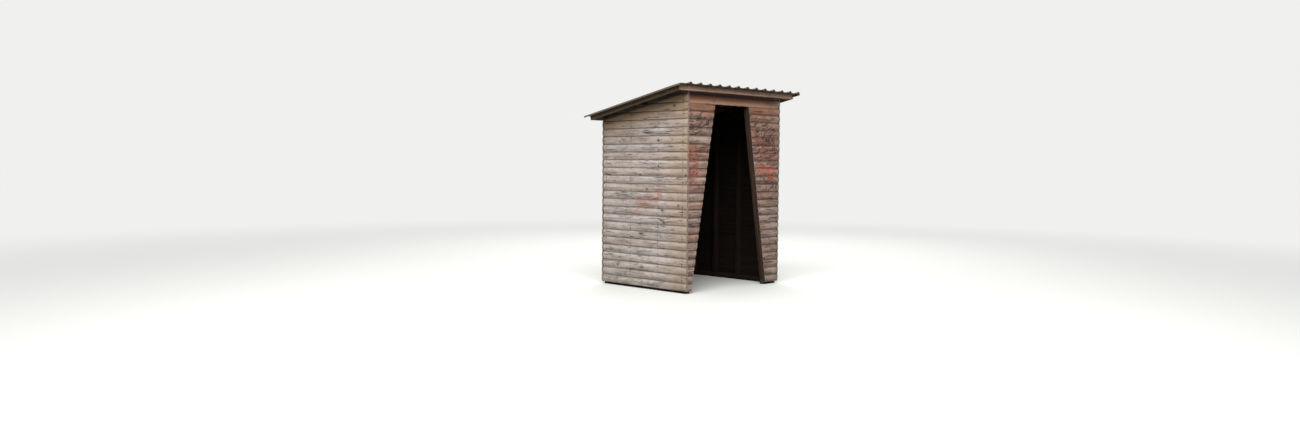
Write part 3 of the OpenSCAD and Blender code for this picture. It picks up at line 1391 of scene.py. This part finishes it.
@dataclass
class Walls:
    """All walls of half-log boards."""

    faces: dict[str, BoardFace]
    side_end: Material
    front_end: Material
    inner: Material
    nail: Material
    notch_room: float = 0.0018
    roof_gap: float = 0.001
    lip_proud: float = 0.0004
    lip_rise: float = 0.004
    lip_arris: float = 0.0012
    lip_number: int = 260

    def notch(self, node: str) -> Piece:
        """Copies a purlin a little larger, to cut its notches into the side walls.

        Args:
            node: Name of the purlin.

        Returns:
            The copy.
        """
        notch = copy_of_node(node, "notch")
        modify(notch, "DISPLACE", strength=self.notch_room, mid_level=0.0)
        return notch

    def lip(self, finish: Sequence[Material]) -> Piece:
        """Makes the part of the lowest board over the doorway that hangs past its joint.

        Args:
            finish: Materials of its slots.

        Returns:
            The lip, set into the board above it.
        """
        low = HUT.head - HUT.head_lip
        lip = block(
            "head_lip",
            (HUT.board, HUT.belly - self.lip_proud, low),
            (HUT.width - HUT.board, HUT.board, HUT.head + self.lip_rise),
        )
        move(lip, HUT.plan())
        round_edges(lip, self.lip_arris)
        give_finish(lip, finish)
        local = HUT.plan() @ Matrix.Translation((0, 0, low))
        lay_grain(lip, self.lip_number, local, inner=True)
        return lip

    def finishes(self) -> dict[str, list[Material]]:
        """Makes the materials of each wall's boards and of the lip over the doorway.

        Returns:
            Materials of the outer face, the ends and the inner face, by the wall's name.
        """
        front = self.faces["front"]
        # The lip takes a lighter brown under the roof and no painted shade or joint darkening: a
        # painted highlight along the doorway's head
        faces = self.faces | {"lip": replace(
            front, name="head_lip", tones=replace(front.tones, sheltered_and_shaded=srgb(172, 130, 98)),
            smears=(), joint_dirt_and_shade=0.0, eave_shade=0.0, head_wear_and_highlight=0.0,
        )}
        return {
            name: [face.build(), self.side_end if name in SIDES else self.front_end, self.inner]
            for name, face in faces.items()
        }

    def build(self) -> None:
        """Builds the closed walls, the parts beside the doorway and the part over it."""
        plan, head = HUT.plan(), HUT.head_courses
        top = math.ceil((HUT.front_height - HUT.ground_gap) / HUT.course)
        depth = HUT.depth - HUT.board
        templates = [HalfLog(v).model() for v in (depth, HUT.width, HUT.width - 2 * HUT.board)]
        side, back, front = templates
        notches = [self.notch(node) for node in ("purlin_front", "purlin_middle", "purlin_back")]
        finishes = self.finishes()
        side_roof = HUT.roof_cut(self.roof_gap)
        lip_cut = (plan @ Vector((0, 0, HUT.head - HUT.head_lip)), Vector((0, 0, 1)))
        left_jamb = HUT.jamb_cut(HUT.foot_left, HUT.top_left, 1)
        right_jamb = HUT.jamb_cut(HUT.foot_right, HUT.top_right, -1)
        for number, (node, face, template, corner, degrees, first, last, cuts) in enumerate((
            ("left_wall", "left", side, (0, depth, 0), -90, 0, top, [side_roof]),
            ("right_wall", "right", side, (HUT.width, 0, 0), 90, 0, top, [side_roof]),
            ("back_wall", "back", back, (HUT.width, HUT.depth, 0), 180, 0, top,
             [HUT.roof_cut(HUT.edge_height)]),
            ("front_wall_left", "front", front, (HUT.board, 0, 0), 0, 0, head,
             [left_jamb, lip_cut]),
            ("front_wall_right", "front", front, (HUT.board, 0, 0), 0, 0, head,
             [right_jamb, lip_cut]),
            ("front_wall_over_door", "front", front, (HUT.board, 0, 0), 0, head, top,
             [HUT.roof_cut(HUT.purlin_height)]),
        )):
            turn = Matrix.Rotation(math.radians(degrees), 4, "Z")
            BoardWall(
                node, "side_boards" if face in SIDES else "front_boards", template,
                plan @ Matrix.Translation(corner) @ turn, first, last, finishes[face],
                self.nail, self.faces[face].nail_lines, cuts,
                notches if template is side else (), number,
            ).build([self.lip(finishes["lip"])] if node == "front_wall_over_door" else [])
        for used in templates + notches:
            bpy.data.objects.remove(used)


@dataclass
class Frame:
    """The sawn timbers that carry the walls and the roof, with their arrises worn round."""

    timber: Material
    door_timber: Material
    end: Material
    number: int = 300
    arris: float = 0.0025
    swell: Line = (0.0008, 0.2)
    steps: int = 14

    def ways(self) -> dict[str, tuple[float, float, float]]:
        """Finds the direction of each timber's length.

        Returns:
            The directions by the names of the nodes.
        """
        across, back, up = (1, 0, 0), (0, 1, 0), (0, 0, 1)
        fall = (0, math.cos(HUT.pitch), -math.sin(HUT.pitch))
        return {
            "sole_left": back, "sole_right": back, "sole_back": across, "sole_front": across,
            "corner_post_front_left": up, "corner_post_front_right": up,
            "corner_post_back_left": up, "corner_post_back_right": up,
            "door_post_left": (HUT.top_left - HUT.foot_left, 0, HUT.head),
            "door_post_right": (HUT.top_right - HUT.foot_right, 0, HUT.head),
            "stud_left_front": up, "stud_left_back": up,
            "stud_right_front": up, "stud_right_back": up, "stud_back": up,
            "front_beam": across, "back_beam": across,
            "rafter_left": fall, "rafter_right": fall,
            "purlin_front": across, "purlin_middle": across, "purlin_back": across,
        }

    def dressed(self, node: str, way: Vector, number: int) -> None:
        """Dresses a copy of the construction's own timber.

        Args:
            node: Name of the timber's node.
            way: Direction of its length.
            number: Its number.
        """
        timber = copy_of_node(node, node + "_sawn")
        low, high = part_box(node)
        middle, reach = (low + high) / 2, max(high - low) / 2
        side = Vector((0, 1, 0)) if abs(way.y) < 0.5 else Vector((1, 0, 0))
        turn = Matrix((way, side, way.cross(side))).transposed().to_4x4()
        slice_along(timber, middle - way * reach, middle + way * reach, self.steps)
        warp(timber, *self.swell)
        round_edges(timber, self.arris)
        lay_grain(timber, number + 0.5, Matrix.Translation(middle) @ turn, inner=False)
        smooth(timber, 35)
        by_door = node.startswith(("door_post", "purlin"))
        give_finish(timber, [self.door_timber if by_door else self.timber, self.end])
        dress(timber, [node])

    def build(self) -> None:
        """Dresses all timbers, from the ground up."""
        for number, (node, way) in enumerate(self.ways().items(), self.number):
            self.dressed(node, Vector(way).normalized(), number)


@dataclass
class EdgeBoards:
    """The boards round the roof's edge, with the strip along the front one and nails."""

    face: Material
    strip_face: Material
    barge_face: Material
    end: Material
    nail: Material
    joint: float = 0.813
    joint_gap: float = 0.001
    strip_height: float = 0.017
    strip_thickness: float = 0.004
    strip_set: float = 0.0005
    arris: float = 0.0022
    swell: Line = (0.0012, 0.3)
    front_number: int = 201
    strip_number: int = 211
    other_number: int = 221
    nail_places: tuple[float, ...] = (-0.19, 0.25, 0.79, 0.84, 1.3, 1.7, 1.99)
    nail_ups: Line = (-0.016, -0.04)
    nail_shift: float = 0.01

    def plank(
        self, board: Piece, way: Vector, number: int, face: Material, slices: int = 12
    ) -> Piece:
        """Wears one board's edges and lays its grain.

        Args:
            board: The board.
            way: Direction of its length.
            number: Its number.
            face: Finish of its faces.
            slices: Number of stretches that may warp.

        Returns:
            The board.
        """
        corners = [Vector(c) for c in board.bound_box]
        low, high = Vector(map(min, *corners)), Vector(map(max, *corners))
        middle, reach = (low + high) / 2, max(high - low) / 2
        up = HUT.slope().to_3x3() @ Vector((0, 0, 1))
        turn = Matrix((way, up.cross(way), up)).transposed().to_4x4()
        slice_along(board, middle - way * reach, middle + way * reach, slices)
        warp(board, *self.swell)
        round_edges(board, self.arris)
        give_finish(board, [face, self.end])
        lay_grain(board, number, Matrix.Translation(middle) @ turn, inner=False)
        smooth(board, 35)
        return board

    def front(self) -> Piece:
        """Makes the front board in two lengths, each with a strip along its lower edge.

        Returns:
            The board with its strip.
        """
        right, gap = Vector((1, 0, 0)), self.joint_gap
        face = HUT.along(-HUT.eave, -HUT.edge_height)
        low, parts = -HUT.edge_height, []
        for i, (start, end) in enumerate((
            (-HUT.verge, self.joint - gap), (self.joint + gap, HUT.width + HUT.verge)
        )):
            board = copy_of_node("fascia_front", "front_length")
            at, side = (start, -right) if i else (end, right)
            cut(board, [(HUT.plan() @ Vector((at, 0, 0)), side)])
            parts.append(self.plank(board, right, self.front_number + i, self.face))
            strip = block(
                "front_strip",
                (start + gap, face - self.strip_thickness, low),
                (end - gap, face + self.strip_set, low + self.strip_height),
            )
            move(strip, HUT.slope())
            parts.append(self.plank(strip, right, self.strip_number + i, self.strip_face))
        return join(parts, "fascia_front_plank")

    def nails(self) -> Nails:
        """Places the nails: in pairs over each purlin's end and along the front and back.

        Returns:
            The nails with their places.
        """
        nails, chance, slope, shift = Nails(), random.Random(5), HUT.slope(), self.nail_shift
        ends = [
            (HUT.along(y, -HUT.edge_height), degrees)
            for y, degrees in ((-HUT.eave, 0), (HUT.depth, 180))
        ]
        places = []
        for x in self.nail_places:
            for up in self.nail_ups:
                places += [
                    (x + chance.uniform(-shift, shift), y, up, degrees) for y, degrees in ends
                ]
        for x, degrees in ((-HUT.verge, -90), (HUT.width + HUT.verge, 90)):
            for y in HUT.purlins():
                for up in self.nail_ups:
                    places.append((x, y + chance.uniform(-shift, shift), up, degrees))
        for x, y, up, degrees in places:
            turn = Matrix.Rotation(math.radians(degrees), 4, "Z")
            nails.heads.append(slope @ Matrix.Translation((x, y, up)) @ turn)
        return nails

    def build(self) -> None:
        """Builds all edge boards and drives their nails."""
        right, down = Vector((1, 0, 0)), HUT.slope().to_3x3() @ Vector((0, 1, 0))
        made = [("fascia_front", self.front())]
        for number, (node, way, face) in enumerate((
            ("eave_board_back", right, self.face),
            ("barge_board_left", down, self.barge_face),
            ("barge_board_right", down, self.barge_face),
        ), self.other_number):
            board = copy_of_node(node, node + "_plank")
            made.append((node, self.plank(board, way, number, face, 14)))
        for node, board in made:
            dress(board, [node])
        self.nails().build("nails_edge_boards", self.nail)


@dataclass
class RibbedRoof:
    """The ribbed sheets and the screws that hold them to the purlins."""

    finish: Material
    backing: Material
    screw: Material
    spaces: int = 12
    sheets: int = 3
    rib: float = 0.022
    top: float = 0.022
    thickness: float = 0.001
    lap: float = 0.012
    left_fold: float = 0.021
    right_fold: float = 0.031
    bend: float = 0.0025
    steps: int = 20
    dents: int = 7
    dent: Line = (-0.0035, 0.001)
    dent_reach: float = 0.035
    dent_spread: float = 0.14
    swell: Line = (0.0006, 0.25)
    screw_radius: float = 0.009
    screw_washer: float = 0.002
    screw_height: float = 0.004
    screw_taper: float = 0.9
    screw_lift: float = 0.0022
    screw_shift: Line = (0.004, 0.006)

    @property
    def width(self) -> float:
        """Width over all sheets."""
        return HUT.width + 2 * (HUT.verge + HUT.sheet_lip)

    @property
    def front(self) -> float:
        """Place of the sheets' front edge along the slope."""
        return HUT.along(-HUT.eave - HUT.sheet_lip)

    @property
    def length(self) -> float:
        """Length of a sheet along the slope."""
        return HUT.along(HUT.depth + HUT.sheet_lip) - self.front

    def ribs(self) -> Piece:
        """Folds one flat and one rib, and repeats them over the roof's width.

        Returns:
            The folded surface without thickness, its left front corner at the origin.
        """
        flat = HUT.rib_pitch - HUT.rib_foot
        flank = (HUT.rib_foot - self.top) / 2
        start = HUT.first_rib - HUT.rib_foot / 2 - flat
        sheet = primitive(bpy.ops.mesh.primitive_plane_add, "ribbed_sheet", size=1)
        middle = (start + flat / 2, self.length / 2, 0)
        move(sheet, Matrix.LocRotScale(middle, None, (flat, self.length, 1)))
        for step in ((flank, 0, self.rib), (self.top, 0, 0), (flank, 0, -self.rib)):
            with editing(sheet):
                edge = max(v.co.x for v in sheet.data.vertices)
                pick("EDGE", lambda co, _: co.x > edge - NEAR)
                bpy.ops.mesh.extrude_region_move(TRANSFORM_OT_translate={"value": step})
        modify(sheet, "ARRAY", count=self.spaces + 2, use_relative_offset=False,
               use_constant_offset=True, constant_offset_displace=(HUT.rib_pitch, 0, 0),
               use_merge_vertices=True, merge_threshold=1e-4)
        with editing(sheet):
            pick("VERT", lambda co, _: co.x < start + NEAR)
            bpy.ops.transform.translate(value=(-start, 0, 0))
        return sheet

    def sheet(self, folded: Piece, i: int, name: str) -> Piece:
        """Cuts one sheet, folds its outer edge down and gives it its thickness.

        Args:
            folded: The folded surface.
            i: The sheet's number from the left.
            name: Name of the piece.

        Returns:
            The sheet in its place.
        """
        per_sheet = math.ceil(self.spaces / self.sheets)
        lap = HUT.rib_foot / 2 + self.lap
        left, right = (HUT.first_rib + v * per_sheet * HUT.rib_pitch for v in (i, i + 1))
        left, right, outer = left - lap, right + lap, []
        if i == 0:
            left = self.thickness
            outer.append((left, self.left_fold))
        if i == self.sheets - 1:
            right = self.width - self.thickness
            outer.append((right, self.right_fold))
        sheet = copy_of(folded, name)
        side = Vector((1, 0, 0))
        cut(sheet, [(side * left, -side), (side * right, side)], open_cut=True)
        for edge, fold in outer:
            with editing(sheet):
                pick("EDGE", lambda co, _: abs(co.x - edge) < NEAR)
                bpy.ops.mesh.extrude_region_move(TRANSFORM_OT_translate={"value": (0, 0, -fold)})
        slice_along(sheet, Vector((0, 0, 0)), Vector((0, self.length, 0)), self.steps)
        round_edges(sheet, self.bend, 25)
        with editing(sheet):
            chance = random.Random(31 + i)
            for _ in range(self.dents):
                x = chance.uniform(left, right)
                pick("VERT", lambda co, _: co.y < NEAR and abs(co.x - x) < self.dent_reach)
                bpy.ops.transform.translate(
                    value=(0, 0, chance.uniform(*self.dent)), use_proportional_edit=True,
                    proportional_edit_falloff="SMOOTH", proportional_size=self.dent_spread,
                )
        warp(sheet, *self.swell)
        modify(sheet, "SOLIDIFY", thickness=self.thickness, offset=1.0)
        give_finish(sheet, [self.finish, self.backing])
        with editing(sheet):
            middle = (left + right) / 2
            pick("FACE", lambda co, n: n.z < -0.1 or (co.z < -0.002 and n.x * (middle - co.x) > 0))
            sheet.active_material_index = 1
            bpy.ops.object.material_slot_assign()
        corner = (-HUT.verge - HUT.sheet_lip, self.front, i % 2 * self.thickness)
        move(sheet, HUT.slope() @ Matrix.Translation(corner))
        smooth(sheet, 30)
        return sheet

    def screws(self) -> None:
        """Puts a screw head on its washer in every second flat over each purlin."""
        head = primitive(
            bpy.ops.mesh.primitive_cylinder_add, "screw_head", vertices=12,
            radius=self.screw_radius, depth=self.screw_washer,
        )
        with editing(head):
            pick("FACE", lambda _, n: n.z > 0.9)
            bpy.ops.mesh.inset(thickness=self.screw_radius / 3)
            bpy.ops.mesh.extrude_region_move(
                TRANSFORM_OT_translate={"value": (0, 0, self.screw_height)}
            )
            bpy.ops.transform.resize(value=(self.screw_taper, self.screw_taper, 1))
        chance, places = random.Random(17), []
        across, down = self.screw_shift
        for y in HUT.purlins():
            for i in (v for v in range(self.spaces) if v % 2 == 0 or v == self.spaces - 1):
                x = HUT.first_rib + (i + 0.5) * HUT.rib_pitch - HUT.verge - HUT.sheet_lip
                x += chance.uniform(-across, across)
                place = (x, y + chance.uniform(-down, down), self.screw_lift)
                places.append(HUT.slope() @ Matrix.Translation(place))
        scatter(head, places, "roof_screws", self.screw, 30)

    def build(self) -> None:
        """Makes the three lapping sheets and their screws."""
        folded = self.ribs()
        for i, node in enumerate(("roof_sheet_left", "roof_sheet_middle", "roof_sheet_right")):
            dress(self.sheet(folded, i, node + "_ribbed"), [node])
        bpy.data.objects.remove(folded)
        self.screws()


@dataclass
class Studio:
    """Floor, soft light and the camera. Angles are in degrees."""

    eye: tuple[float, float, float] = (-9.636, -8.8707, 1.577)
    heading: float = 45.087
    down: float = 3.184
    roll: float = 0.456
    lens: float = 27.42
    sensor: float = 36.0
    ground: float = 60.0
    fade: Line = (4.0, 16.0)
    paving: Colour = srgb(96, 96, 90)
    paving_shown: Colour = srgb(206, 206, 202)
    backdrop: Colour = srgb(240, 240, 238)
    sky: Colour = srgb(250, 252, 255)
    sky_strength: float = 0.65
    lamp_size: float = 8.0
    lit_height: float = 1.2
    lamps: tuple[tuple[str, tuple[float, float, float], float], ...] = (
        ("softbox_front", (-6.0, -4.8, 8.6), 1650.0),
        ("softbox_back", (6.0, 4.8, 8.6), 900.0),
    )

    def camera(self) -> None:
        """Puts the camera where the shelter is seen at its near front corner."""
        yaw, dip, turn = (math.radians(a) for a in (self.heading, -self.down, self.roll))
        flat = Vector((math.cos(yaw), math.sin(yaw), 0))
        ahead = flat * math.cos(dip) + Vector((0, 0, math.sin(dip)))
        right = Vector((math.sin(yaw), -math.cos(yaw), 0))
        up = right.cross(ahead)
        right, up = (
            right * math.cos(turn) + up * math.sin(turn),
            up * math.cos(turn) - right * math.sin(turn),
        )
        lens = bpy.data.cameras.new("camera")
        lens.lens, lens.sensor_width = self.lens, self.sensor
        camera = bpy.data.objects.new("camera", lens)
        aim = Matrix((right, up, -ahead)).transposed().to_4x4()
        camera.matrix_world = Matrix.Translation(self.eye) @ aim
        bpy.context.scene.collection.objects.link(camera)
        bpy.context.scene.camera = camera

    def floor(self) -> None:
        """Lays the pale floor, which fades into the background far out."""
        floor = primitive(bpy.ops.mesh.primitive_plane_add, "studio_floor", size=2 * self.ground)
        tree = Tree("floor")
        shown = tree.seen()
        colour = tree.mix(shown, self.paving, self.paving_shown)
        lit = tree.node("ShaderNodeBsdfDiffuse", None, {"Color": colour})
        bare = tree.node("ShaderNodeEmission", None, {"Color": self.backdrop})
        away = {0: tree.place()}
        far = tree.node("ShaderNodeVectorMath", {"operation": "LENGTH"}, away, "Value")
        far = far.ease(*self.fade)
        both = tree.node("ShaderNodeMixShader", None, {0: far * shown, 1: lit, 2: bare})
        give_finish(floor, [tree.end(both)])

    def lights(self) -> None:
        """Fills with light from all round and hangs two broad soft lamps over the shelter."""
        tree = Tree("studio", world=True)
        fill, shown = (
            tree.node("ShaderNodeBackground", None, {"Color": colour, "Strength": strength})
            for colour, strength in ((self.sky, self.sky_strength), (self.backdrop, 1.0))
        )
        both = tree.node("ShaderNodeMixShader", None, {0: tree.seen(), 1: fill, 2: shown})
        bpy.context.scene.world = tree.end(both)
        for name, place, power in self.lamps:
            light = bpy.data.lights.new(name, "AREA")
            light.shape, light.size, light.energy = "SQUARE", self.lamp_size, power
            lamp = bpy.data.objects.new(name, light)
            lamp.location = place
            aim = Vector((0, 0, self.lit_height)) - Vector(place)
            lamp.rotation_euler = aim.to_track_quat("-Z", "Y").to_euler()
            bpy.context.scene.collection.objects.link(lamp)

    def build(self) -> None:
        """Sets up the studio."""
        self.camera()
        self.floor()
        self.lights()
        bpy.context.scene.view_settings.view_transform = "Standard"


# This shelter's colours and marks


LEFT_SMEARS = (
    Smear((0.06, 1.06), (-0.24, 1.16), 0.16, srgb(172, 124, 98), 0.3),
    Smear((0.10, 1.06), (-0.24, 1.16), 0.22, srgb(160, 88, 68), 0.45, 1.0, 2.6),
    Smear((-0.40, 1.12), (-0.60, 1.18), 0.10, srgb(142, 78, 68), 0.42, 1.0, 2.6),
)
FRONT_SMEARS = (
    Smear((-0.82, 2.02), (-0.58, 2.12), 0.22, srgb(42, 24, 18), 1.0, 1.0, 0.35),
    Smear((-0.82, 1.68), (-0.76, 1.42), 0.16, srgb(146, 92, 76), 0.3),
    Smear((-0.80, 1.72), (-0.78, 1.42), 0.20, srgb(132, 46, 32), 0.95, 1.0, 0.4),
    Smear((0.44, 2.04), (0.78, 1.98), 0.30, srgb(164, 114, 88), 0.35),
    Smear((0.48, 1.76), (0.80, 1.70), 0.22, srgb(150, 84, 66), 0.4),
    Smear((0.48, 1.52), (0.74, 1.48), 0.16, srgb(176, 104, 74), 0.45),
    Smear((0.46, 2.05), (0.72, 1.97), 0.24, srgb(26, 15, 12), 1.0, 1.0, 0.5),
    Smear((0.56, 1.88), (0.76, 1.86), 0.12, srgb(20, 14, 13), 1.0, 1.0, 0.9),
    Smear((0.50, 1.76), (0.80, 1.68), 0.26, srgb(76, 14, 9), 1.0, 1.0, 0.3),
    Smear((0.50, 1.52), (0.76, 1.46), 0.18, srgb(156, 56, 32), 0.95, 1.0, 0.5),
    Smear((0.56, 1.36), (0.82, 1.26), 0.20, srgb(64, 46, 41), 0.95, 1.0, 0.7),
)
GREY = Tones(srgb(188, 176, 169), srgb(108, 93, 85), srgb(172, 155, 143),
             srgb(204, 196, 191), srgb(178, 148, 114))
REAR = replace(GREY, sheltered_and_shaded=srgb(160, 139, 116))
BROWN = Tones(srgb(166, 139, 125), srgb(72, 48, 39), srgb(154, 108, 84),
              srgb(178, 162, 152), srgb(166, 105, 60))


def board_faces() -> dict[str, BoardFace]:
    """Describes the outer face of each wall's boards, with its rows of nails.

    Returns:
        The faces by the walls' names.
    """
    half, last = HUT.post / 2, HUT.depth - HUT.nail_row - 0.005
    depth, post = HUT.depth - HUT.board, HUT.nail_row
    return {
        "left": BoardFace(
            "left_boards", GREY, tuple((depth - y, 0.0) for y in (post, *HUT.left_studs, last)),
            smears=LEFT_SMEARS, eave_shade=0.88, eave_shade_reach=(0.088, 0.05), corner_darkening=0.45,
        ),
        "right": BoardFace(
            "right_boards", REAR, tuple((y, 0.0) for y in (post, *HUT.right_studs, last))
        ),
        "back": BoardFace(
            "back_boards", REAR, tuple((x, 0.0) for x in (post, HUT.width / 2, HUT.width - post)),
            across=Across.X,
        ),
        "front": BoardFace(
            "front_boards", BROWN,
            ((half, 0.0), (HUT.width - 2 * HUT.board - half, 0.0),
             HUT.jamb_line(HUT.foot_left, HUT.top_left, -half),
             HUT.jamb_line(HUT.foot_right, HUT.top_right, half)),
            across=Across.X, smears=FRONT_SMEARS, contrast=1.25, eave_shade=0.92,
            eave_shade_reach=(0.184, 0.094), eave_shade_colour=srgb(70, 30, 10), under_roof_shade=0.15, right_wear=0.3,
            head_wear_and_highlight=0.45, joint_dirt_and_shade=0.78, joint_reach=0.14,
        ),
    }


def main() -> None:
    """Builds the shelter's pieces in order, then the studio."""
    logging.basicConfig(level=logging.INFO, format="%(name)s: %(message)s")
    nail = OldSteel("nail_heads", srgb(84, 80, 76), srgb(64, 42, 30)).build()
    Walls(
        board_faces(),
        CutEnd("side_board_ends", srgb(158, 139, 125), srgb(112, 94, 82)).build(),
        # Ends of the front boards, seen in the doorway's edges: darker end grain and painted shade
        # of the reveal
        CutEnd("front_board_ends", srgb(52, 38, 28), srgb(26, 18, 13)).build(),
        # Painted shade: the inner faces are near black for the dark inside of the shelter
        SawnFace("inner_faces", srgb(30, 23, 18), srgb(15, 11, 8)).build(),
        nail,
    ).build()
    Frame(
        # Painted shade: the frame, mostly inside, is near black
        SawnFace("frame_timber", srgb(42, 32, 25), srgb(21, 15, 11)).build(),
        SawnFace("door_timber", srgb(70, 50, 39), srgb(38, 26, 19), shine=0.2).build(),
        CutEnd("frame_timber_ends", srgb(62, 48, 38), srgb(34, 25, 20), (0.012, -0.006)).build(),
    ).build()
    EdgeBoards(
        PlanedEdge("edge_boards", srgb(172, 138, 116), srgb(104, 80, 64), 0.3).build(),
        PlanedEdge("edge_strips", srgb(176, 146, 128), srgb(112, 88, 72), 0.2, 0.8).build(),
        PlanedEdge("barge_boards", srgb(104, 88, 66), srgb(62, 50, 34), 0.5).build(),
        CutEnd("edge_board_ends", srgb(98, 84, 68), srgb(56, 46, 36), (0.0, -0.05)).build(),
        nail,
    ).build()
    RibbedRoof(
        SheetCoat("roof_sheets", srgb(97, 84, 69), srgb(58, 47, 37)).build(),
        SheetCoat("roof_sheets_backing", srgb(98, 82, 67), srgb(66, 53, 42), 0.1).build(),
        OldSteel("screw_heads", srgb(150, 150, 148), srgb(108, 72, 50), 0.8).build(),
    ).build()
    Studio().build()


if __name__ == "__main__":
    main()
